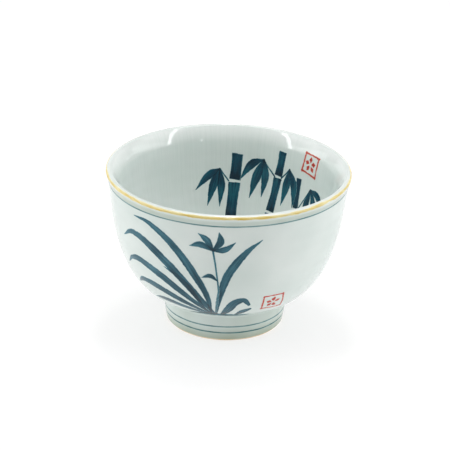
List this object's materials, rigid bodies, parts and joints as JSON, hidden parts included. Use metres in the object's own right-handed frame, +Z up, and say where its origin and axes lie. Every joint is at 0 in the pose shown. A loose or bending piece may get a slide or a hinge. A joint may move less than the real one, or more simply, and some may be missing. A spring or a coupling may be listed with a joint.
{
  "type": "porcelain teacup",
  "caption": "Handleless porcelain teacup with a flared amber-lined lip, a tall foot ring, thin blue lines and blue brush painting inside and out.",
  "frame": {"origin": "centre of the foot ring's contact face, on the table", "axes": "+Z up through the mouth of the cup, -Y towards the painted front, +X to the right of someone looking at that front"},
  "size_m": [0.0902, 0.0902, 0.0606],
  "materials": {
    "porcelain_clay": "fired unglazed, matte",
    "clear_glaze": "glossy, faint blue-green",
    "cobalt_blue": "glossy, brushed, uneven in density",
    "amber_iron": "glossy, uneven",
    "red_enamel": "satin, stamped"
  },
  "bodies": {
    "root": {"bowl": "porcelain_clay", "foot_ring": "porcelain_clay", "outer_glaze": "clear_glaze", "inner_glaze": "clear_glaze", "base_glaze": "clear_glaze", "rim_line": "amber_iron", "neck_line": "cobalt_blue", "foot_line_upper": "cobalt_blue", "foot_line_lower": "cobalt_blue", "outer_grass": "cobalt_blue", "outer_blossoms": "cobalt_blue", "outer_seal_frame": "red_enamel", "outer_seal_flower": "red_enamel", "inner_culms": "cobalt_blue", "inner_leaves": "cobalt_blue", "inner_seal_frame": "red_enamel", "inner_seal_flower": "red_enamel"}
  },
  "joints": []
}
